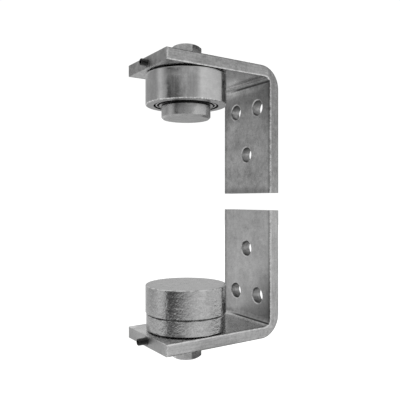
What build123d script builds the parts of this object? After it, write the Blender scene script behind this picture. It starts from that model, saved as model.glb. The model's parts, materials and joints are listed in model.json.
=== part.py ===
from build123d import *
import os
from math import radians, tan

# Ball bearing hinge set for a heavy door, in millimetres, as it stands on the jamb.
# +Z is the hinge axis, the jamb is on the +X side and Z = 0 is the door's seat on the swivel cap.
# Each half is a bent flat bar with a threaded pivot stud. The upper stud carries a double-row
# ball bearing, and the lower one a thrust bearing and a guide bearing under a closed cap.

# Brackets, bent from flat bar
bar_width = 70.0
bar_thickness = 10.0
bar_edge_radius = 0.6
jamb_distance = 78.4  # hinge axis to the face that lies on the jamb
arm_overhang = 39.6  # hinge axis to the arm's free end
plate_reach = 105.0  # arm's inner face to the plate's free end
plate_gap = 16.0  # between the free ends of the two plates
bend_inner_radius = 6.5
bend_outer_radius = 20.0

# Bolt holes in each plate: a pair near the arm and a single one further out
bolt_hole_diameter = 14.0
bolt_hole_rim = 0.8
bolt_pair_spacing = 32.6
bolt_pair_height = 24.9  # above the arm's inner face
single_hole_height = 67.8

# Pivot studs
thread_diameter = 30.0
thread_pitch = 1.5
thread_neck_depth = 1.1
thread_end_bevel = 0.7
hex_across_flats = 24.0
hex_height = 15.0
hex_end_diameter = 21.0  # flat disc left by the bevel on the hexagon's end
hex_bevel_angle = 30.0
hex_bevel_margin = 1.0  # the bevelling cone starts this far outside the corners
upper_hex_turn = 22.6  # first corner, from +X
lower_hex_turn = 18.4
journal_end_bevel = 0.6

# Set screws that lock the studs
set_screw_diameter = 6.0
set_screw_bevel = 0.8
upper_screw_stand_out = 5.5
lower_screw_stand_out = 8.0
set_screw_socket = 3.0  # across flats
set_screw_socket_depth = 3.5
set_screw_hole_rim = 1.0

# Clearances
fit_clearance = 0.05  # radial, wherever a shaft turns or slides in a hole
race_clearance = 0.2  # between a ball and its grooves and pockets
cage_clearance = 0.8  # radial, between the flat cage and the walls beside it
screw_tip_gap = 0.1
upper_lift_gap = 0.9  # upper bearing to its arm
base_lift_gap = 0.9  # base ring to its arm
swivel_gap = 1.0  # base ring to swivel cap

# Upper bearing, two rows of balls
bearing_diameter = 72.0
bearing_bore = 35.0
bearing_width = 27.0
bearing_land_gap = 4.7  # between the rings' shoulders
bearing_circle_inset = 0.3  # the balls' circle inside the middle of the rings
bearing_edge_radius = 1.1
bearing_ball_diameter = 10.0
bearing_ball_count = 12
bearing_ball_cover = 1.4  # bearing's face to the nearest ball
bearing_cage_thickness = 1.2
bearing_cage_inset = 0.5  # below the bearing's face
bearing_cage_reach = 1.5  # past the balls' centres
boss_diameter = 43.7
boss_height = 11.8
boss_bevel = 1.6

# Lower thrust bearing
thrust_diameter = 52.0
thrust_shaft_bore = 30.0
thrust_housing_bore = 32.6
thrust_height = 16.0
thrust_washer_thickness = 5.2
thrust_ball_diameter = 8.0
thrust_ball_count = 13
thrust_cage_thickness = 2.4
thrust_edge_bevel = 0.5

# Lower guide bearing
guide_diameter = 47.0
guide_bore = 25.0
guide_width = 12.0
guide_land_gap = 4.0
guide_edge_radius = 0.6
guide_ball_diameter = 6.4
guide_ball_count = 10
guide_cage_thickness = 1.6
guide_cage_inset = 0.9
guide_cage_reach = 1.0
guide_gap = 0.1  # between guide bearing and thrust bearing

# Base ring and swivel cap
base_overhang = 0.3  # past the bar's edges
base_floor = 3.5  # between the stud's collar and the thrust bearing
base_recess_depth = 7.0
base_edge_bevel = 0.6
collar_diameter = 40.0
collar_height = 3.0
cap_diameter = 72.0
cap_roof = 3.4
cap_relief_depth = 1.0  # hollow over the stud's end
cap_edge_bevel = 0.6

# Heights, from the swivel cap's seat at Z = 0
guide_top = -cap_roof - cap_relief_depth
guide_bottom = guide_top - guide_width
thrust_top = guide_bottom - guide_gap
thrust_bottom = thrust_top - thrust_height
collar_top = thrust_bottom - base_floor
base_bottom = collar_top - collar_height
base_top = thrust_bottom + base_recess_depth
cap_bottom = base_top + swivel_gap
lower_arm_height = base_bottom - base_lift_gap
upper_arm_height = lower_arm_height + 2 * plate_reach + plate_gap
bearing_top = upper_arm_height - upper_lift_gap
bearing_bottom = bearing_top - bearing_width

# Radii that several pieces share
ball_circle = (bearing_diameter + bearing_bore) / 4 - bearing_circle_inset
outer_land = ball_circle + bearing_land_gap / 2
inner_land = ball_circle - bearing_land_gap / 2
thrust_circle = (thrust_diameter + thrust_shaft_bore) / 4
guide_circle = (guide_diameter + guide_bore) / 4
guide_outer_land = guide_circle + guide_land_gap / 2
guide_inner_land = guide_circle - guide_land_gap / 2
base_radius = bar_width / 2 + base_overhang
thread_neck_height = 2 * thread_pitch


def turned(points):
    """A closed outline of (radius, height) points, turned about the hinge axis."""
    outline = make_face(Plane.XZ * Polyline(*points, close=True))
    return revolve(outline, Axis.Z)


def rim_edges(ring, radius):
    """The circular edges at a ring's given radius."""
    circles = ring.edges().filter_by(GeomType.CIRCLE)
    return circles.filter_by(lambda edge: abs(edge.radius - radius) < 0.01)


def tube(outer_radius, inner_radius, low, high, outer_bevel=0, inner_bevel=0):
    """A ring between two heights, with bevelled rims."""
    ring = turned([(inner_radius, low), (outer_radius, low), (outer_radius, high), (inner_radius, high)])
    if outer_bevel:
        ring = chamfer(rim_edges(ring, outer_radius), outer_bevel)
    if inner_bevel:
        ring = chamfer(rim_edges(ring, inner_radius), inner_bevel)
    return ring


def drill(diameter, depth, rim):
    """The cut of a drill from Z = 0 downwards, with a bevelled mouth."""
    down = (Align.CENTER, Align.CENTER, Align.MAX)
    hole = Cylinder(diameter / 2, depth, align=down)
    mouth = Cone(diameter / 2, diameter / 2 + rim, rim, align=down)
    return hole + mouth


def bent_bar():
    """The bar's side outline and both bends, with the arm's inner face at Z = 0 and the plate up."""
    plate_face = jamb_distance - bar_thickness
    outline = Polyline(
        (-arm_overhang, 0),
        (plate_face, 0),
        (plate_face, plate_reach),
        (jamb_distance, plate_reach),
        (jamb_distance, -bar_thickness),
        (-arm_overhang, -bar_thickness),
        close=True,
    )
    side = make_face(Plane.XZ * outline)
    inner_corner = side.vertices().sort_by_distance((plate_face, 0, 0))[0]
    side = fillet(inner_corner, bend_inner_radius)
    outer_corner = side.vertices().sort_by_distance((jamb_distance, 0, -bar_thickness))[0]
    side = fillet(outer_corner, bend_outer_radius)
    bar = extrude(side, bar_width / 2, both=True)
    return fillet(bar.faces().filter_by(Axis.Y).edges(), bar_edge_radius)


def bracket():
    """A bracket as it lies at the foot of the door, with its arm's inner face at Z = 0."""
    bar = bent_bar()
    stud_hole = drill(thread_diameter + 2 * fit_clearance, bar_thickness, thread_end_bevel)
    bar -= stud_hole
    bar -= Pos(0, 0, -bar_thickness) * Rot(180, 0, 0) * stud_hole
    arm_end = Plane(origin=(-arm_overhang, 0, -bar_thickness / 2), z_dir=(-1, 0, 0))
    bar -= arm_end * drill(set_screw_diameter + 2 * fit_clearance, arm_overhang, set_screw_hole_rim)
    bolt_hole = drill(bolt_hole_diameter, bar_thickness, bolt_hole_rim)
    bolt_places = [
        (-bolt_pair_spacing / 2, bolt_pair_height),
        (bolt_pair_spacing / 2, bolt_pair_height),
        (0, single_hole_height),
    ]
    for across, height in bolt_places:
        mouth = Plane(origin=(jamb_distance - bar_thickness, across, height), z_dir=(-1, 0, 0))
        bar -= mouth * bolt_hole
    return bar


def set_screw(stand_out):
    """The locking screw at the foot of the door, its tip against the stud's thread."""
    tip = thread_diameter / 2 + screw_tip_gap
    length = arm_overhang + stand_out - tip
    rod = Cylinder(set_screw_diameter / 2, length, align=(Align.CENTER, Align.CENTER, Align.MAX))
    rod = chamfer(rod.edges().filter_by(GeomType.CIRCLE), set_screw_bevel)
    rod -= extrude(RegularPolygon(set_screw_socket / 2, 6, major_radius=False), -set_screw_socket_depth)
    outer_end = Plane(origin=(-arm_overhang - stand_out, 0, -bar_thickness / 2), z_dir=(-1, 0, 0))
    return outer_end * rod


def on_lower_arm(piece):
    """Puts a piece modelled at arm height 0 on the lower arm."""
    return Pos(0, 0, lower_arm_height) * piece


def on_upper_arm(piece):
    """Turns the same piece over onto the upper arm."""
    return Pos(0, 0, upper_arm_height) * Rot(180, 0, 0) * piece


def hexagon(turn):
    """A stud's hexagon from Z = 0 upwards, its end bevelled to a disc."""
    blank = extrude(RegularPolygon(hex_across_flats / 2, 6, major_radius=False), hex_height)
    end = hex_end_diameter / 2
    outside = hex_across_flats / 3 ** 0.5 + hex_bevel_margin
    shoulder = hex_height - (outside - end) * tan(radians(hex_bevel_angle))
    bevel = turned([(0, 0), (outside, 0), (outside, shoulder), (end, hex_height), (0, hex_height)])
    return Rot(0, 0, turn) * (blank & bevel)


def upper_pivot_stud():
    """Boss, journal and thread in one turning, with the hexagon above the arm."""
    journal = bearing_bore / 2 - fit_clearance
    thread = thread_diameter / 2
    neck = thread - thread_neck_depth
    boss = boss_diameter / 2
    boss_bottom = bearing_bottom - boss_height
    arm_top = upper_arm_height + bar_thickness
    shank = turned([
        (0, boss_bottom),
        (boss - boss_bevel, boss_bottom),
        (boss, boss_bottom + boss_bevel),
        (boss, bearing_bottom),
        (journal, bearing_bottom),
        (journal, bearing_top - journal_end_bevel),
        (journal - journal_end_bevel, bearing_top),
        (neck, bearing_top),
        (neck, bearing_top + thread_neck_height - thread_neck_depth),
        (thread, bearing_top + thread_neck_height),
        (thread, arm_top - thread_end_bevel),
        (thread - thread_end_bevel, arm_top),
        (0, arm_top),
    ])
    return shank + Pos(0, 0, arm_top) * hexagon(upper_hex_turn)


def lower_pivot_stud():
    """Guide journal, thrust seat, collar and thread in one turning, with the hexagon below the arm."""
    guide = guide_bore / 2 - fit_clearance
    seat = thrust_shaft_bore / 2 - fit_clearance
    collar = collar_diameter / 2
    thread = thread_diameter / 2
    neck = thread - thread_neck_depth
    arm_bottom = lower_arm_height - bar_thickness
    shank = turned([
        (0, guide_top),
        (guide - journal_end_bevel, guide_top),
        (guide, guide_top - journal_end_bevel),
        (guide, guide_bottom),
        (seat, guide_bottom),
        (seat, collar_top),
        (collar, collar_top),
        (collar, base_bottom),
        (neck, base_bottom),
        (neck, base_bottom - thread_neck_height + thread_neck_depth),
        (thread, base_bottom - thread_neck_height),
        (thread, arm_bottom + thread_end_bevel),
        (thread - thread_end_bevel, arm_bottom),
        (0, arm_bottom),
    ])
    return shank + Pos(0, 0, arm_bottom) * Rot(180, 0, 0) * hexagon(-lower_hex_turn)


def grooved(ring, circle, ball_diameter, heights):
    """Cuts a ball groove round a ring at each height."""
    for height in heights:
        ring -= Pos(0, 0, height) * Torus(circle, ball_diameter / 2 + race_clearance)
    return ring


def ball_row(circle, ball_diameter, count, height):
    """One row of balls, evenly spaced."""
    places = PolarLocations(circle, count)
    return Compound(children=[Pos(0, 0, height) * place * Sphere(ball_diameter / 2) for place in places])


def crown_cage(circle, thickness, ball_diameter, count, back, ball_height, reach):
    """A cage that holds its balls from one side: a ring from its back to just past their centres."""
    way = 1 if ball_height > back else -1
    front = ball_height + way * reach
    ring = tube(circle + thickness / 2, circle - thickness / 2, min(back, front), max(back, front))
    pocket = Sphere(ball_diameter / 2 + race_clearance)
    for place in PolarLocations(circle, count):
        ring -= Pos(0, 0, ball_height) * place * pocket
    return ring


def upper_bearing():
    """The double-row bearing's rings, ball rows and cages, by node name."""
    drop = bearing_ball_cover + bearing_ball_diameter / 2
    rows = {"top": (bearing_top, bearing_top - drop), "bottom": (bearing_bottom, bearing_bottom + drop)}
    heights = [height for _, height in rows.values()]
    outer = tube(bearing_diameter / 2, outer_land, bearing_bottom, bearing_top)
    outer = fillet(rim_edges(outer, bearing_diameter / 2), bearing_edge_radius)
    inner = tube(inner_land, bearing_bore / 2, bearing_bottom, bearing_top, 0, journal_end_bevel)
    pieces = {
        "upper_outer_ring": grooved(outer, ball_circle, bearing_ball_diameter, heights),
        "upper_inner_ring": grooved(inner, ball_circle, bearing_ball_diameter, heights),
    }
    for row, (face, height) in rows.items():
        inset = bearing_cage_inset if height > face else -bearing_cage_inset
        pieces["upper_" + row + "_balls"] = ball_row(
            ball_circle, bearing_ball_diameter, bearing_ball_count, height)
        pieces["upper_" + row + "_cage"] = crown_cage(
            ball_circle, bearing_cage_thickness, bearing_ball_diameter, bearing_ball_count,
            face + inset, height, bearing_cage_reach)
    return pieces


def thrust_bearing():
    """Shaft washer below, housing washer above, and the flat cage with its balls between them."""
    centre = thrust_bottom + thrust_height / 2
    outer = thrust_diameter / 2
    rim = outer - fit_clearance
    lower_face = thrust_bottom + thrust_washer_thickness
    upper_face = thrust_top - thrust_washer_thickness
    bevel = thrust_edge_bevel
    lower = tube(rim, thrust_shaft_bore / 2, thrust_bottom, lower_face, bevel, bevel)
    upper = tube(rim, thrust_housing_bore / 2, upper_face, thrust_top, bevel, bevel)
    cage = tube(
        outer - cage_clearance,
        thrust_shaft_bore / 2 + cage_clearance,
        centre - thrust_cage_thickness / 2,
        centre + thrust_cage_thickness / 2,
    )
    pocket = Sphere(thrust_ball_diameter / 2 + race_clearance)
    for place in PolarLocations(thrust_circle, thrust_ball_count):
        cage -= Pos(0, 0, centre) * place * pocket
    return {
        "thrust_lower_washer": grooved(lower, thrust_circle, thrust_ball_diameter, [centre]),
        "thrust_upper_washer": grooved(upper, thrust_circle, thrust_ball_diameter, [centre]),
        "thrust_cage": cage,
        "thrust_balls": ball_row(thrust_circle, thrust_ball_diameter, thrust_ball_count, centre),
    }


def guide_bearing():
    """The single-row bearing that keeps the cap upright on the stud's end."""
    centre = (guide_top + guide_bottom) / 2
    rim = guide_diameter / 2 - fit_clearance
    outer = tube(rim, guide_outer_land, guide_bottom, guide_top, guide_edge_radius)
    inner = tube(guide_inner_land, guide_bore / 2, guide_bottom, guide_top, 0, guide_edge_radius)
    return {
        "guide_outer_ring": grooved(outer, guide_circle, guide_ball_diameter, [centre]),
        "guide_inner_ring": grooved(inner, guide_circle, guide_ball_diameter, [centre]),
        "guide_cage": crown_cage(
            guide_circle, guide_cage_thickness, guide_ball_diameter, guide_ball_count,
            guide_top - guide_cage_inset, centre, guide_cage_reach),
        "guide_balls": ball_row(guide_circle, guide_ball_diameter, guide_ball_count, centre),
    }


def base_ring():
    """The ring that rests on the stud's collar and holds the thrust bearing's lower washer."""
    ring = tube(base_radius, thrust_shaft_bore / 2, base_bottom, base_top, base_edge_bevel)
    ring -= bored(collar_diameter / 2 + fit_clearance, base_bottom, collar_top)
    return ring - bored(thrust_diameter / 2, thrust_bottom, base_top)


def bored(radius, low, high):
    """The cut of a boring tool between two heights on the hinge axis."""
    return Pos(0, 0, low) * Cylinder(radius, high - low, align=(Align.CENTER, Align.CENTER, Align.MIN))


def swivel_cap():
    """The closed cap that the door sits on, bored from below for both bearings."""
    cap = tube(cap_diameter / 2, 0, cap_bottom, 0, cap_edge_bevel)
    cap -= bored(thrust_diameter / 2, cap_bottom, thrust_top)
    cap -= bored(guide_diameter / 2, thrust_top, guide_top)
    return cap - bored(guide_outer_land, guide_top, -cap_roof)


def hinge_pieces():
    """Every piece of the hinge set, by node name."""
    pieces = {
        "upper_bracket": on_upper_arm(bracket()),
        "upper_set_screw": on_upper_arm(set_screw(upper_screw_stand_out)),
        "upper_pivot_stud": upper_pivot_stud(),
        "lower_bracket": on_lower_arm(bracket()),
        "lower_set_screw": on_lower_arm(set_screw(lower_screw_stand_out)),
        "lower_pivot_stud": lower_pivot_stud(),
        "lower_base_ring": base_ring(),
        "swivel_cap": swivel_cap(),
    }
    pieces.update(upper_bearing())
    pieces.update(thrust_bearing())
    pieces.update(guide_bearing())
    return pieces


os.makedirs("parts", exist_ok=True)
for node, shape in hinge_pieces().items():
    export_step(shape, "parts/" + node + ".step")
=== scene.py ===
import json
from math import cos, pi, radians, sin

import bmesh
import bpy
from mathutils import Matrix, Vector


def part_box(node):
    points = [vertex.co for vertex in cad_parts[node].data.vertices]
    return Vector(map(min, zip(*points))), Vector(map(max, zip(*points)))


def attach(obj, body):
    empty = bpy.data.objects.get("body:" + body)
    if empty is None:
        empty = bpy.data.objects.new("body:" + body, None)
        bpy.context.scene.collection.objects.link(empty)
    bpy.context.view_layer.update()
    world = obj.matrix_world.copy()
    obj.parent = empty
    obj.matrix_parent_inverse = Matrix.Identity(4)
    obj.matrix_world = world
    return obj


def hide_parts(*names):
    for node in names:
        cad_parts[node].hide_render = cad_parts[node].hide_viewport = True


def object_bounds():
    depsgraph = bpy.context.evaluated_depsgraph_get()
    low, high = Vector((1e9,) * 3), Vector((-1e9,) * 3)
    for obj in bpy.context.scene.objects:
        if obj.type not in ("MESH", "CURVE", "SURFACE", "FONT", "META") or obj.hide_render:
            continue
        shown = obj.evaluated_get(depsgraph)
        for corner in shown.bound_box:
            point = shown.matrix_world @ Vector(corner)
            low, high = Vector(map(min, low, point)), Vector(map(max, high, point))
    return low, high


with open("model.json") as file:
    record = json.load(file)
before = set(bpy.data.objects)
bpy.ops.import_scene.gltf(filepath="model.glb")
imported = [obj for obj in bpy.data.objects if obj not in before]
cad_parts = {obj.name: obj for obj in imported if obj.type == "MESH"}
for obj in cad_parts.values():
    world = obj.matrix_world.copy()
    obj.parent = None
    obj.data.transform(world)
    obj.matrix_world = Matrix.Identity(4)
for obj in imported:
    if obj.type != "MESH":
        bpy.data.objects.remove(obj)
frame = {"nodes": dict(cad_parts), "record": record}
cad_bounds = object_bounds()

# Lengths are in metres, and tones and brightness go from 0, black, to 1, white.

# Camera: level, at the middle height between the two halves, close enough to show perspective
CAMERA_DISTANCE = 0.4459
CAMERA_YAW = radians(56.5)  # viewing direction, from +X towards +Y
CAMERA_SHIFT_RIGHT = 0.0125
CAMERA_HEIGHT = 0.0746
CAMERA_LENS = 45.0  # millimetres
SENSOR_WIDTH = 36.0  # millimetres

# Floor and backdrop
FLOOR_GAP = 0.03  # below the lowest hexagon
FLOOR_RADIUS = 3.0
FLOOR_SEGMENTS = 96
FLOOR_ALBEDO = 0.35
FLOOR_GLOW = 1.0
BACKDROP_RADIUS = 3.2
BACKDROP_SUBDIVISIONS = 4
BACKDROP_GLOW = 1.05  # a little over white

# Brightness of the studio's walls in layers, each at a height of direction from -1, down, to 1, up.
# In a layer it goes by degrees to the right of the camera as the hinge sees it.
WALL_LAYERS = [
    (-0.600, [(-180, 0.60), (180, 0.60)]),
    (-0.285, [
        (-180, 0.45), (-150, 0.75), (-113, 0.95), (-90, 0.80), (-65, 0.25), (-42, 0.25), (-28, 0.70),
        (-10, 0.76), (67, 0.76), (82, 0.45), (95, 0.10), (130, 0.10), (150, 0.45), (180, 0.45),
    ]),
    (-0.250, [
        (-180, 0.35), (-166, 0.45), (-160, 0.76), (-144, 0.62), (-112, 0.60), (-94, 0.62), (-82, 0.92),
        (-66, 0.90), (-57, 0.72), (-50, 0.08), (-40, 0.11), (-20, 0.16), (0, 0.50), (16, 0.80),
        (32, 0.96), (48, 1.00), (64, 0.86), (96, 0.86), (116, 0.80), (140, 0.50), (160, 0.40),
        (180, 0.35),
    ]),
    (0.265, [
        (-180, 0.66), (-160, 0.50), (-144, 0.38), (-112, 0.36), (-92, 0.35), (-87, 0.36), (-79, 0.66),
        (-71, 0.62), (-64, 0.44), (-57, 0.32), (-50, 0.04), (-40, 0.10), (-20, 0.12), (0, 0.28),
        (14, 0.29), (32, 0.36), (45, 0.84), (64, 0.76), (80, 0.76), (96, 0.74), (114, 0.62),
        (130, 0.44), (160, 0.30), (180, 0.66),
    ]),
    (0.290, [
        (-180, 0.65), (-150, 0.55), (-113, 0.32), (-50, 0.50), (-21, 0.72), (40, 0.66), (67, 0.60),
        (80, 0.30), (92, 0.02), (135, 0.02), (150, 0.40), (180, 0.65),
    ]),
    (0.600, [(-180, 0.62), (180, 0.62)]),
]

# Shapes that the finishes follow
BAR_THICKNESS = 0.010
BEND_INNER_RADIUS = 0.0065
BEND_OUTER_RADIUS = 0.020
RING_WALL = 0.0072  # of the upper bearing's outer ring, beside the gap
STUD_RADIUS = 0.015
STUD_PITCH = 0.0015
STUD_THREAD_DEPTH = 0.0008
TOOL_FEED = 0.0026  # from one turned ring on the cap's top to the next
SHADED_FLAT_TURN = -0.193  # direction of each hexagon's flat with painted shade, in turns from +X

# Each pair below says where a mark or a region begins and where it is full. On the bars:
SIDE = (0.0007, 0.0004)  # from a side or an end
INNER_FACE = (0.0006, 0.0002)  # below the inner face
PLATE = (-0.004, 0.0)  # past the plate's inner face
OUTER_BEND = (0.0, 0.00003)  # square metres, the distances past both ends of the outer curve multiplied
UPPER_HALF = (-0.01, 0.01)  # above the middle between the halves
BEND_SHADE_REACH = (0.045, 0.004)  # painted shade, from the bend
LIT_BORDER = (0.0020, 0.0008)  # below the inner face
DARK_BORDER = (0.0045, 0.0012)  # from a side
DARK_FOOT = (0.0085, 0.0020)  # above the upper plate's lower end
OUTER_EDGE = (0.0011, 0.0004)  # from the outer face and from a side
INNER_EDGE = (0.0013, 0.0008)  # from the inner face and from a side
CORNER = (0.0016, 0.0009)  # from the corner of an arm
CORNER_HIGHLIGHT = (0.0090, 0.0040)  # painted highlight, from the corner of an arm
FORGED_SKIN = (0.0020, 0.0005)  # below the outer face
COVERED = (0.0355, 0.0345)  # painted light under the rings, from the hinge axis
HOLE_RIM = (0.0016, 0.0010)  # outside a bolt hole's wall
HOLE_WALL = (0.0003, 0.0001)  # outside a bolt hole's wall
HOLE_SHADE = (0.25, 0.95)  # above or below a bolt hole's middle, in radii

# Round the bend, by past_plate and up_plate added up, which is below 0 on the arm's side of the middle
CREASE_PLACE = 0.0024  # in the upper bar; the lower bar has its crease in the middle
CREASE_LINE = (0.0020, 0.0006)  # from the crease
SHOULDER = ((-0.0105, -0.0070), (-0.0040, -0.0058))
HOLLOW = ((-0.0050, -0.0026), (0.0016, 0.0006))
PAST_CREASE = ((0.0034, 0.0050), (0.0110, 0.0070))
LIT_PATCH_CREASE = (0.0020, 0.0050)

# Across the bars by Y, and up the plate by the distance from the bend
CREASE_FADE = (0.028, 0.008)
# Where the upper plate has a painted light patch and a painted shade patch
LIT_PATCH = (-0.004, 0.022)
LIT_PATCH_BEND = (0.017, 0.009)
SHADED_PATCH = (-0.006, -0.030)
SHADED_PATCH_BEND = (0.030, 0.009)

# On the round pieces
GROUND_FACE = (0.0004, 0.0001)  # from an end face
RIM_EDGE = (0.0008, 0.0005)  # above or below the rim's edge
BASE_RIM = (0.0344, 0.0348)  # from the hinge axis
CAP_RIM = (0.0350, 0.0354)  # from the hinge axis
CAP_TOP = (0.0003, 0.0001)  # below the top
CAP_CENTRE = (0.0120, 0.0020)  # from the hinge axis
RING_CORNER = (0.0014, 0.0008)  # from the outside and from the lower face
GAP_EDGE = (0.0002, 0.0001)  # grease and painted shade, into the ring on either side of the gap
PAST_JOURNAL = (0.80, 0.85)  # from the hinge axis, in the inner ring's radii
SHADED_BOSS_TOP = ((-0.0013, -0.0008), (0.0001, 0.0))  # painted shade, above the bearing's lower face
BOSS_END = (0.0002, 0.0)  # above the bearing's lower face
THREAD = (0.0002, 0.0001)  # from the major diameter
HEXAGON = (0.0, 0.0002)  # past the arm's outer face
SHADED_FLAT_SPAN = (0.082, 0.080)  # turns from the flat with painted shade

# Tones of the metals, of what marks them, and of painted light and shade
PLATING_TONE = 0.53
UNDER_RING_LIGHT_TONE = 0.75
OUTER_EDGE_TONE = 0.12
INNER_EDGE_HIGHLIGHT_TONE = 0.86
CORNER_TONE = 0.80
CREASE_TONE = 0.06
HOLE_RIM_TONE = 0.80
HOLE_WALL_SHADE_TONE = 0.38
STUD_TONE = 0.55
BOSS_SHADE_TONE = 0.02
RING_TONE = 0.62
RING_RIM_HIGHLIGHT_TONE = 0.95
GROUND_TONE = 0.90
RIM_HIGHLIGHT_TONE = 0.85
GAP_SHADE_AND_GREASE_TONE = 0.03
BLACK_TONE = 0.022

# Relief depths
BAR_RELIEF = 0.00006
STUD_RELIEF = 0.00003
BEARING_RELIEF = 0.000006
SCREW_RELIEF = 0.00002
TURNED_RELIEF = 0.000003
PIT_RELIEF = 0.0005

# How many times as long clouds are along X, Y and Z
TURNED_RINGS = (40, 40, 1)
ALONG_ARM = (14, 14, 1)
ALONG_PLATE = (1, 1, 14)
ALONG_AXIS = (1, 1, 12)
FLAT_PATCHES = (1, 1, 0.6)
TALL_SMEARS = (1, 1, 1.6)

# Turned pieces by material slot: tone, roughness and how pitted they are
TURNED_PIECES = {
    "turned_cap": (0.47, 0.15, 0.20),
    "polished_ball": (0.15, 0.10, 0.02),
    "cage_steel": (0.62, 0.25, 0.05),
}

# Set screws
SCREW_RADIUS = 0.003
SCREW_PITCH = 0.001
SCREW_THREAD_DEPTH = 0.0006
SCREW_FLANK_SLOPE = 2.6
SCREW_CREST_SHARE = 0.15
SCREW_SEGMENTS = 24
SCREW_ROWS_PER_TURN = 8
SCREW_BEVEL = 0.0004
SCREW_SOCKET = 0.003  # across flats
SCREW_SOCKET_DEPTH = 0.0035
SCREW_SHARP_ANGLE = radians(40)


class Field:
    """A value that varies over a surface. Sums, products and comparisons of fields are made with nodes."""

    def __init__(self, tree, socket):
        self.tree = tree
        self.socket = socket

    def feed(self, target, value):
        """Connects a field to a node's input, or sets the input to a number."""
        if isinstance(value, Field):
            self.tree.links.new(value.socket, target)
        else:
            target.default_value = value

    def maths(self, operation, other=0.0):
        """A maths node's operation on this field and, where it takes two, another field or a number."""
        made = self.tree.nodes.new("ShaderNodeMath")
        made.operation = operation
        self.feed(made.inputs[0], self)
        self.feed(made.inputs[1], other)
        return Field(self.tree, made.outputs["Value"])

    def __add__(self, other):
        return self.maths("ADD", other)

    def __sub__(self, other):
        return self.maths("SUBTRACT", other)

    def __mul__(self, other):
        return self.maths("MULTIPLY", other)

    def __rsub__(self, other):
        return -self + other

    __radd__ = __add__
    __rmul__ = __mul__

    def __neg__(self):
        return self * -1.0

    def __abs__(self):
        return self.maths("ABSOLUTE")

    def at_least(self, other):
        return self.maths("MAXIMUM", other)

    def at_most(self, other):
        return self.maths("MINIMUM", other)

    def fraction(self):
        """What this field has past the whole number below it."""
        return self.maths("FRACT")

    def wave(self):
        """A sine wave, from -1 to 1 and back for each 1 that this field rises."""
        return (self * (2 * pi)).maths("SINE")

    def beside(self, other):
        """The distance that the two fields make as the sides of a right angle."""
        return (self * self + other * other).maths("SQRT")

    def turned_from(self, other):
        """The direction of a point that has these two as its places, in turns from the other's axis."""
        return self.maths("ARCTAN2", other) * (0.5 / pi)

    def step(self, start, end, shape="SMOOTHSTEP"):
        """Rises from 0 to 1 as this field goes from start to end."""
        ranged = self.tree.nodes.new("ShaderNodeMapRange")
        ranged.interpolation_type = shape
        ranged.inputs["From Min"].default_value = start
        ranged.inputs["From Max"].default_value = end
        self.feed(ranged.inputs["Value"], self)
        return Field(self.tree, ranged.outputs["Result"])

    def between(self, rise, fall):
        """1 between two stretches, each given from where it is 0 to where it is 1."""
        return self.step(*rise) * self.step(*fall)

    def towards(self, target, share):
        """This field where share is 0, the target where it is 1."""
        return self + (target - self) * share


def linked(name, mesh):
    """A new object of a mesh, in the scene."""
    made = bpy.data.objects.new(name, mesh)
    bpy.context.scene.collection.objects.link(made)
    return made


def mesh_of(name, shape):
    """A bmesh's shape as a mesh. The bmesh is freed."""
    mesh = bpy.data.meshes.new(name)
    shape.to_mesh(mesh)
    shape.free()
    return mesh


def add_camera():
    """The photograph's view, with the hinge axis a little left of the middle."""
    ahead = Vector((cos(CAMERA_YAW), sin(CAMERA_YAW), 0))
    right = Vector((ahead.y, -ahead.x, 0))
    data = bpy.data.cameras.new("camera")
    data.lens = CAMERA_LENS
    data.sensor_width = SENSOR_WIDTH
    camera = linked("camera", data)
    camera.location = right * CAMERA_SHIFT_RIGHT - ahead * CAMERA_DISTANCE + Vector((0, 0, CAMERA_HEIGHT))
    camera.rotation_euler = (pi / 2, 0, CAMERA_YAW - pi / 2)
    bpy.context.scene.camera = camera


def wall_layer(share, stops):
    """A layer's brightness by the share of a turn, from behind the hinge, as a ramp through the stops."""
    ramp = share.tree.nodes.new("ShaderNodeValToRGB")
    while len(ramp.color_ramp.elements) < len(stops):
        ramp.color_ramp.elements.new(0.5)
    for element, (degrees_right, brightness) in zip(ramp.color_ramp.elements, stops):
        element.position = (degrees_right + 180) / 360
        element.color = (brightness, brightness, brightness, 1)
    share.feed(ramp.inputs["Fac"], share)
    return Field(share.tree, ramp.outputs["Color"])


def light_studio():
    """Soft light from walls all round, as bright in each direction as their layers say."""
    world = bpy.data.worlds.new("studio")
    bpy.context.scene.world = world
    world.use_nodes = True
    tree = world.node_tree
    tree.nodes.clear()
    place = tree.nodes.new("ShaderNodeTexCoord")
    turn = tree.nodes.new("ShaderNodeVectorRotate")
    turn.rotation_type = "Z_AXIS"
    turn.inputs["Angle"].default_value = -(CAMERA_YAW + pi)
    tree.links.new(place.outputs["Generated"], turn.inputs["Vector"])
    parts = tree.nodes.new("ShaderNodeSeparateXYZ")
    tree.links.new(turn.outputs["Vector"], parts.inputs["Vector"])
    ahead, across, height = (Field(tree, parts.outputs[axis]) for axis in "XYZ")
    share = across.turned_from(ahead) + 0.5
    brightness = wall_layer(share, WALL_LAYERS[0][1])
    for (below, _), (level, stops) in zip(WALL_LAYERS, WALL_LAYERS[1:]):
        brightness = brightness.towards(wall_layer(share, stops), height.step(below, level, "LINEAR"))
    light = tree.nodes.new("ShaderNodeBackground")
    tree.links.new(brightness.socket, light.inputs["Strength"])
    light.inputs["Color"].default_value = (1, 1, 1, 1)
    out = tree.nodes.new("ShaderNodeOutputWorld")
    tree.links.new(light.outputs["Background"], out.inputs["Surface"])


def glowing(name, albedo, glow):
    """A matt white that also glows, for the floor and the backdrop."""
    material = bpy.data.materials.new(name)
    material.use_nodes = True
    shader = material.node_tree.nodes["Principled BSDF"]
    shader.inputs["Base Color"].default_value = (albedo, albedo, albedo, 1)
    shader.inputs["Roughness"].default_value = 1.0
    shader.inputs["Specular IOR Level"].default_value = 0.0
    shader.inputs["Emission Color"].default_value = (1, 1, 1, 1)
    shader.inputs["Emission Strength"].default_value = glow
    return material


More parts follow.
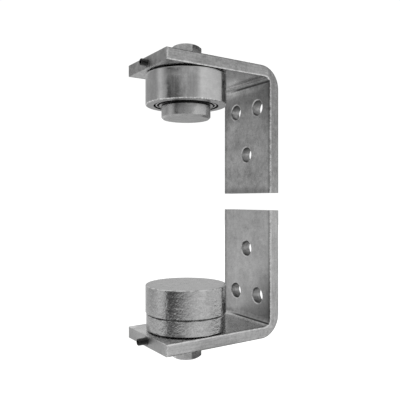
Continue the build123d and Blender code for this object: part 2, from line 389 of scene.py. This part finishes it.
def add_floor():
    """A plain pale floor, which the metal doesn't mirror."""
    shape = bmesh.new()
    bmesh.ops.create_circle(shape, cap_ends=True, segments=FLOOR_SEGMENTS, radius=FLOOR_RADIUS)
    floor = linked("floor", mesh_of("floor", shape))
    floor.location.z = cad_bounds[0][2] - FLOOR_GAP
    floor.data.materials.append(glowing("floor", FLOOR_ALBEDO, FLOOR_GLOW))
    floor.visible_glossy = False


def add_backdrop():
    """A white shell all round, seen by the camera alone."""
    shape = bmesh.new()
    bmesh.ops.create_icosphere(shape, subdivisions=BACKDROP_SUBDIVISIONS, radius=BACKDROP_RADIUS)
    backdrop = linked("backdrop", mesh_of("backdrop", shape))
    backdrop.data.materials.append(glowing("backdrop", 0.0, BACKDROP_GLOW))
    backdrop.visible_glossy = False
    backdrop.visible_diffuse = False
    backdrop.visible_transmission = False
    backdrop.visible_shadow = False


class Finish:
    """A metal whose tone, roughness and relief are fields of the place on the piece."""

    def __init__(self, name):
        self.material = bpy.data.materials.new(name)
        self.material.use_nodes = True
        self.tree = self.material.node_tree
        self.shader = self.tree.nodes["Principled BSDF"]
        self.shader.inputs["Metallic"].default_value = 1.0
        self.place = self.tree.nodes.new("ShaderNodeTexCoord").outputs["Object"]
        parts = self.tree.nodes.new("ShaderNodeSeparateXYZ")
        self.tree.links.new(self.place, parts.inputs["Vector"])
        self.x, self.y, self.z = (Field(self.tree, parts.outputs[axis]) for axis in "XYZ")
        self.from_axis = self.x.beside(self.y)

    def cloud(self, size, detail=2.0, stretch=(1, 1, 1)):
        """A cloudy field round 0, mostly within 0.2 of it, with features about size metres across."""
        spread = self.tree.nodes.new("ShaderNodeMapping")
        spread.inputs["Scale"].default_value = [1 / (size * along) for along in stretch]
        self.tree.links.new(self.place, spread.inputs["Vector"])
        noise = self.tree.nodes.new("ShaderNodeTexNoise")
        noise.inputs["Scale"].default_value = 1.0
        noise.inputs["Detail"].default_value = detail
        self.tree.links.new(spread.outputs["Vector"], noise.inputs["Vector"])
        return Field(self.tree, noise.outputs["Fac"]) - 0.5

    def done(self, tone, roughness, relief, depth):
        """Sets the metal's grey tone and roughness, and raises it by relief times depth metres."""
        colour = self.tree.nodes.new("ShaderNodeCombineColor")
        for channel in ("Red", "Green", "Blue"):
            self.tree.links.new(tone.socket, colour.inputs[channel])
        self.tree.links.new(colour.outputs["Color"], self.shader.inputs["Base Color"])
        self.tree.links.new(roughness.socket, self.shader.inputs["Roughness"])
        bump = self.tree.nodes.new("ShaderNodeBump")
        bump.inputs["Distance"].default_value = depth
        self.tree.links.new(relief.socket, bump.inputs["Height"])
        self.tree.links.new(bump.outputs["Normal"], self.shader.inputs["Normal"])
        return self.material


def bar_heights():
    """The middle height between the two brackets, and how far from it the arms' inner faces lie."""
    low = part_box("lower_bracket")[0].z
    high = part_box("upper_bracket")[1].z
    return (low + high) / 2, (high - low) / 2 - BAR_THICKNESS


class BarFinish(Finish):
    """The bent bars' finish, with fields that tell where on a bar each point lies."""

    def __init__(self, name):
        super().__init__(name)
        self.middle, self.reach = bar_heights()
        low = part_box("lower_bracket")[0]
        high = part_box("upper_bracket")[1]
        self.past_plate = self.x - (high.x - BAR_THICKNESS)  # beyond the plate's inner face
        self.up_plate = self.reach - abs(self.z - self.middle)  # along the plate, from the arm's inner face
        inner_past = (self.past_plate + BEND_INNER_RADIUS).at_least(0)
        inner_down = (BEND_INNER_RADIUS - self.up_plate).at_least(0)
        self.depth = inner_past.beside(inner_down) - BEND_INNER_RADIUS  # below the inner face
        outer_centre = BEND_OUTER_RADIUS - BAR_THICKNESS
        outer_past = (self.past_plate + outer_centre).at_least(0)
        outer_down = (outer_centre - self.up_plate).at_least(0)
        self.skin = BEND_OUTER_RADIUS - outer_past.beside(outer_down)  # below the outer face
        self.outer_bend = (outer_past * outer_down).step(*OUTER_BEND)
        self.from_bend = (-self.past_plate).at_least(self.up_plate)
        self.round_bend = self.past_plate + self.up_plate  # below 0 towards the arm, above 0 to the plate
        self.from_side = high.y - abs(self.y)
        self.from_end = self.x - low.x
        self.on_plate = self.past_plate.step(*PLATE)
        self.on_side = self.from_side.step(*SIDE)
        self.on_end = self.from_end.step(*SIDE)
        self.inner_face = self.depth.step(*INNER_FACE)
        self.upper = (self.z - self.middle).step(*UPPER_HALF)
        self.grain = self.cloud(0.0012)
        self.mottle = self.cloud(0.0035, 3.0)
        self.speckle = (self.grain + self.mottle).step(-0.12, 0.08)


def plating(bar):
    """The tone of mottled plating, with rolled streaks along the sides."""
    blotches = bar.cloud(0.022)
    rolled = bar.cloud(0.0011, 2.0, ALONG_ARM).towards(bar.cloud(0.0011, 2.0, ALONG_PLATE), bar.on_plate)
    marks = bar.grain * 0.45 + bar.mottle * 0.45 + blotches * 0.50
    return PLATING_TONE + marks * (0.65 + 0.35 * bar.upper) + rolled * bar.on_side * 0.35


def bend_light_and_shade(bar, tone):
    """Painted shade towards the bend, painted light on the inner faces but the upper plate's, and painted
    highlights and shade across the upper bar's bend.
    """
    # Painted shade towards the bend, deeper in the upper bar.
    bend_shade = (0.22 + 0.13 * bar.upper) * bar.from_bend.step(*BEND_SHADE_REACH) * bar.on_plate
    tone = tone * (1 - bend_shade * bar.inner_face)
    # Painted light: the inner faces are lighter, all but the upper plate's.
    tone = tone * (1 + (0.32 - 0.20 * bar.on_plate) * bar.inner_face * (1 - bar.upper * bar.on_plate))
    lit_shoulder = bar.round_bend.between(*SHOULDER)
    shaded_hollow = bar.round_bend.between(*HOLLOW)
    lit_past_crease = bar.round_bend.between(*PAST_CREASE)
    # Painted highlights on the shoulder and past the crease, painted shade in the hollow between them.
    streaks = 0.42 * lit_shoulder - 0.40 * shaded_hollow + 0.32 * lit_past_crease
    return tone * (1 + streaks * bar.inner_face * bar.upper)


def plate_light_and_shade(bar, tone):
    """The upper plate's inner face: a painted light patch and a painted shade patch near the bend, and
    darker at its foot.
    """
    upper_plate = bar.upper * bar.inner_face * bar.on_plate
    # Painted light towards +Y near the bend, painted shade towards -Y.
    lit_patch = bar.y.step(*LIT_PATCH) * bar.from_bend.step(*LIT_PATCH_BEND) * bar.round_bend.step(*LIT_PATCH_CREASE)
    shaded_patch = bar.y.step(*SHADED_PATCH) * bar.from_bend.step(*SHADED_PATCH_BEND)
    tone = tone * (1 + (0.42 * lit_patch - 0.20 * shaded_patch) * upper_plate)
    from_foot = bar.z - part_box("upper_bracket")[0].z
    return tone * (1 - 0.36 * from_foot.step(*DARK_FOOT) * upper_plate)


def border_marks(bar, tone):
    """Darker sides, with painted shade on the upper bar's; a painted highlight on the sides along the inner
    face, which has darker borders.
    """
    tone = tone * (1 - 0.08 * bar.on_side)
    # Painted shade on the upper bar's sides.
    tone = tone * (1 - (0.12 + 0.18 * bar.on_plate) * bar.on_side * bar.upper)
    # Painted highlight on the sides next to the inner face.
    tone = tone * (1 + 0.30 * bar.on_side * bar.depth.step(*LIT_BORDER))
    return tone * (1 - 0.40 * bar.from_side.step(*DARK_BORDER) * bar.inner_face)


def edge_wear_highlights_and_shade(bar, tone):
    """Dark dashes on the outer edges, worn specks and a painted highlight on the inner edges, worn bright
    specks on the arm's corners, painted shade on the ends, and a painted highlight near the lower arm's
    corner.
    """
    dashes = bar.cloud(0.0030).step(-0.10, 0.06)
    outer_edge = bar.skin.at_least(bar.from_side).step(*OUTER_EDGE)
    tone = tone.towards(OUTER_EDGE_TONE, outer_edge * (0.45 + 0.55 * dashes))
    inner_edge = bar.depth.at_least(bar.from_side).step(*INNER_EDGE)
    # Worn specks and a painted highlight along the inner edges.
    tone = tone.towards(INNER_EDGE_HIGHLIGHT_TONE, inner_edge * (0.30 + 0.70 * bar.speckle))
    # Painted shade on the ends, deeper on the upper bar's.
    tone = tone * (1 - (0.05 + 0.12 * bar.upper) * bar.on_end)
    from_corner = bar.from_end.beside(bar.from_side)
    tone = tone.towards(CORNER_TONE, from_corner.step(*CORNER) * (0.25 + 0.75 * bar.speckle))
    # Painted highlight on the lower arm's inner face near its corner.
    return tone * (1 + 0.60 * from_corner.step(*CORNER_HIGHLIGHT) * bar.inner_face * (1 - bar.upper))


def crease(bar, tone):
    """A dark line inside the bend, fading towards +Y."""
    line = abs(bar.round_bend - CREASE_PLACE * bar.upper).step(*CREASE_LINE)
    return tone.towards(CREASE_TONE, line * bar.inner_face * bar.y.step(*CREASE_FADE))


def mount(name):
    """One of the record's mounts, by name."""
    return next(held for held in frame["record"]["mounts"] if held["name"] == name)


def bolt_holes(bar, tone):
    """Worn rims round the bolt holes, and walls with painted shade, deepest above and below."""
    pair = mount("lower_jamb_bolts")
    single = mount("lower_single_hole")
    across_pair = pair["dims"]["spacing_x_mm"] / 2000
    radius = pair["dims"]["hole_r_mm"] / 1000
    over_pair = bar.up_plate - (bar.reach - bar.middle + pair["pos_m"][2])
    over_single = bar.up_plate - (bar.reach - bar.middle + single["pos_m"][2])
    across = abs(bar.y)
    past_hole = (across - across_pair).beside(over_pair).at_most(across.beside(over_single)) - radius
    tone = tone.towards(HOLE_RIM_TONE, past_hole.step(*HOLE_RIM) * (0.6 + 0.4 * bar.speckle))
    off_middle = abs(over_pair).at_most(abs(over_single)) * (1 / radius)
    # Painted shade on the walls, deepest above and below the middle.
    shaded_wall_tone = (HOLE_WALL_SHADE_TONE + bar.mottle * 0.7) * (1 - 0.70 * off_middle.step(*HOLE_SHADE))
    return tone.towards(shaded_wall_tone, past_hole.step(*HOLE_WALL))


def bar_finish():
    """Satin plated flat bar, forged rough outside the bend, with painted light on the arms under the ring
    on each.
    """
    bar = BarFinish("zinc_bracket")
    tone = plating(bar)
    for mark in (bend_light_and_shade, plate_light_and_shade, border_marks, edge_wear_highlights_and_shade, crease, bolt_holes):
        tone = mark(bar, tone)
    forged = bar.cloud(0.0030, 3.0) * bar.outer_bend
    tone = tone * (1 + forged * 0.8)
    arm_inside = bar.inner_face * (1 - bar.on_plate)
    # Painted light on the arm's inner face under its ring.
    tone = tone.towards(UNDER_RING_LIGHT_TONE, bar.from_axis.step(*COVERED) * arm_inside)
    roughness = 0.34 + bar.mottle * 0.25 + bar.on_end * 0.12 - (0.07 + 0.07 * bar.upper) * arm_inside
    relief = bar.grain + bar.mottle * 2.0 + forged * 6.0 * bar.skin.step(*FORGED_SKIN)
    return bar.done(tone, roughness, relief, BAR_RELIEF)


def turned_finish(name, brightness, roughness, pitting):
    """Turned steel, mottled and more or less pitted, with turned rings on the cap's top and speckled
    painted highlights on the base ring's and cap's top rims.
    """
    finish = Finish(name)
    base_low, base_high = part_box("lower_base_ring")
    cap_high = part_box("swivel_cap")[1]
    grain = finish.cloud(0.0011)
    patches = finish.cloud(0.0042, 3.0, FLAT_PATCHES)
    rings = finish.cloud(0.0009, 1.0, TURNED_RINGS)
    pits = finish.cloud(0.0019, 1.0)
    blotches = finish.cloud(0.008, 3.0)
    tone = brightness + grain * (0.10 + pitting) + patches * pitting * 1.4 + rings * 0.06
    # Speckled painted highlights along the top rims of the base ring and the cap.
    base_rim = abs(finish.z - base_high.z).step(*RIM_EDGE) * finish.from_axis.step(*BASE_RIM)
    cap_rim = abs(finish.z - cap_high.z).step(*RIM_EDGE) * finish.from_axis.step(*CAP_RIM)
    tone = tone.towards(RIM_HIGHLIGHT_TONE, (base_rim + cap_rim) * (0.2 + 0.8 * patches.step(-0.10, 0.10)))
    tone = tone.towards(GROUND_TONE, (finish.z - base_low.z).step(*GROUND_FACE))
    turning = (finish.from_axis * (1 / TOOL_FEED)).wave() * 0.12 - 0.06
    top_marks = blotches * 0.55 + turning * finish.from_axis.step(*CAP_CENTRE)
    tone = tone * (1 + top_marks * (cap_high.z - finish.z).step(*CAP_TOP))
    relief = grain * 0.6 + pits * 1.5 + patches * 1.4
    return finish.done(tone, roughness + patches * 0.2, relief, PIT_RELIEF * pitting + TURNED_RELIEF)


def stud_finish():
    """Turned studs: mottled, threaded in their arms, with painted shade where the boss meets its bearing
    and on one flat of each hexagon.
    """
    finish = Finish("turned_steel")
    middle, reach = bar_heights()
    inner_ring_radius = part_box("upper_inner_ring")[1].x
    into_bearing = finish.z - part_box("upper_outer_ring")[0].z
    grain = finish.cloud(0.0011)
    patches = finish.cloud(0.0040, 3.0)
    rings = finish.cloud(0.0009, 1.0, TURNED_RINGS)
    smears = finish.cloud(0.010, 2.0, TALL_SMEARS)
    tone = STUD_TONE + grain * 0.25 + patches * 0.20 + smears * 0.55 + rings * 0.06
    past_journal = (finish.from_axis * (1 / inner_ring_radius)).step(*PAST_JOURNAL)
    # Painted shade, near black, on the boss just below its bearing.
    tone = tone.towards(BOSS_SHADE_TONE, into_bearing.between(*SHADED_BOSS_TOP) * past_journal)
    turn = finish.y.turned_from(finish.x)
    phase = (finish.z * (1 / STUD_PITCH) + turn).fraction()
    groove = abs(phase - 0.5) * abs(finish.from_axis - STUD_RADIUS).step(*THREAD)
    tone = tone * (1 - 1.2 * groove)
    past_arm = abs(finish.z - middle) - (reach + BAR_THICKNESS)
    # Painted shade on one flat of each hexagon.
    shaded_flat = abs(turn - SHADED_FLAT_TURN).step(*SHADED_FLAT_SPAN) * past_arm.step(*HEXAGON)
    tone = tone * (1 - 0.35 * shaded_flat)
    on_boss = past_journal * into_bearing.step(*BOSS_END)
    roughness = 0.16 + patches * 0.2 + on_boss * (0.08 + abs(smears) * 1.2)
    relief = (grain * 0.4 + patches * 2.0) * STUD_RELIEF - groove * STUD_THREAD_DEPTH
    return finish.done(tone, roughness, relief, 1.0)


def bearing_finish():
    """Ground rings, a little smudged outside, with a speckled painted highlight on the lower outside edge,
    and black between them with grease and painted shade.
    """
    finish = Finish("bearing_steel")
    low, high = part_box("upper_outer_ring")
    inner_ring_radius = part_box("upper_inner_ring")[1].x
    grain = finish.cloud(0.0013)
    streaks = finish.cloud(0.0016, 2.0, ALONG_AXIS)
    rings = finish.cloud(0.0008, 1.0, TURNED_RINGS)
    smudges = finish.cloud(0.008, 3.0)
    tone = RING_TONE + grain * 0.12 + streaks * 0.10 + rings * 0.10 + smudges * 0.34
    tone = tone * (1 - 0.25 * (finish.z - low.z).step(*GROUND_FACE))
    tone = tone.towards(GROUND_TONE, (high.z - finish.z).step(*GROUND_FACE))
    # Speckled painted highlight along the outer ring's lower outside edge.
    corner = (high.x - finish.from_axis).step(*RING_CORNER) * (finish.z - low.z).step(*RING_CORNER)
    tone = tone.towards(RING_RIM_HIGHLIGHT_TONE, corner * (grain + streaks * 2.0).step(-0.10, 0.25))
    past_inner_ring = (inner_ring_radius - finish.from_axis).step(*GAP_EDGE)
    inside_outer_ring = (finish.from_axis - (high.x - RING_WALL)).step(*GAP_EDGE)
    # Grease and painted shade, near black, in the gap between the rings.
    gap_shade_and_grease = past_inner_ring * inside_outer_ring
    tone = tone.towards(GAP_SHADE_AND_GREASE_TONE, gap_shade_and_grease)
    roughness = (0.16 + streaks * 0.1 + smudges.at_least(0) * 0.5).towards(0.5, gap_shade_and_grease)
    return finish.done(tone, roughness, grain + rings, BEARING_RELIEF)


def black_finish():
    """Black oxide, a little shiny on the thread's crests and dark in its roots."""
    finish = Finish("black_screw")
    middle, reach = bar_heights()
    from_screw = finish.y.beside(abs(finish.z - middle) - (reach + BAR_THICKNESS / 2))
    grain = finish.cloud(0.0006)
    crest = from_screw.step(SCREW_RADIUS - SCREW_THREAD_DEPTH, SCREW_RADIUS)
    return finish.done(BLACK_TONE + crest * 0.12 + grain * 0.10, 0.34 + grain * 0.3, grain, SCREW_RELIEF)


def dress():
    """Gives every CAD node the finish of its material slot, and returns the finishes by slot."""
    finishes = {
        "zinc_bracket": bar_finish(),
        "turned_steel": stud_finish(),
        "bearing_steel": bearing_finish(),
        "black_screw": black_finish(),
    }
    for slot, numbers in TURNED_PIECES.items():
        finishes[slot] = turned_finish(slot, *numbers)
    for part in frame["record"]["subparts"]:
        for held in frame["nodes"][part["node"]].material_slots:
            held.material = finishes[part["material_slot"]]
    return finishes


def screw_radius(along, turn, length, radius):
    """The screw's radius at a distance from its tip and a share of a turn, under its end bevels."""
    phase = (along / SCREW_PITCH + turn) % 1
    flank = min(max(abs(phase - 0.5) * SCREW_FLANK_SLOPE - SCREW_CREST_SHARE, 0), 1)
    from_end = min(along, length - along)
    return min(radius - SCREW_THREAD_DEPTH * flank, radius - SCREW_BEVEL + from_end)


def threaded_screw(name, node, material):
    """A set screw with a real thread and hexagon socket, where its plain CAD rod is."""
    low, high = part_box(node)
    length = high.x - low.x
    radius = (high.z - low.z) / 2
    centre_z = (high.z + low.z) / 2
    rows = round(length / SCREW_PITCH * SCREW_ROWS_PER_TURN)
    turns = [turn / SCREW_SEGMENTS for turn in range(SCREW_SEGMENTS)]
    side_angle = pi / 3
    socket = [SCREW_SOCKET / 2 / cos((2 * pi * turn) % side_angle - side_angle / 2) for turn in turns]
    shape = bmesh.new()

    def ring(x, radii):
        places = [(r * cos(2 * pi * turn), r * sin(2 * pi * turn)) for r, turn in zip(radii, turns)]
        return [shape.verts.new((x, y, centre_z + z)) for y, z in places]

    rings = []
    for row in range(rows + 1):
        along = length * row / rows
        rings.append(ring(high.x - along, [screw_radius(along, turn, length, radius) for turn in turns]))
    rings.append(ring(low.x, socket))
    rings.append(ring(low.x + SCREW_SOCKET_DEPTH, socket))
    for first, second in zip(rings, rings[1:]):
        for side in range(SCREW_SEGMENTS):
            after = (side + 1) % SCREW_SEGMENTS
            shape.faces.new((first[side], first[after], second[after], second[side]))
    shape.faces.new(rings[0])
    shape.faces.new(rings[-1])
    bmesh.ops.recalc_face_normals(shape, faces=shape.faces)
    mesh = mesh_of(name, shape)
    mesh.shade_smooth()
    mesh.set_sharp_from_angle(angle=SCREW_SHARP_ANGLE)
    screw = linked(name, mesh)
    screw.data.materials.append(material)
    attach(screw, "frame")
    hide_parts(node)


bpy.context.scene.view_settings.view_transform = "Standard"
add_camera()
light_studio()
add_floor()
add_backdrop()
finishes = dress()
for half in ("upper", "lower"):
    threaded_screw(half + "_threaded_set_screw", half + "_set_screw", finishes["black_screw"])
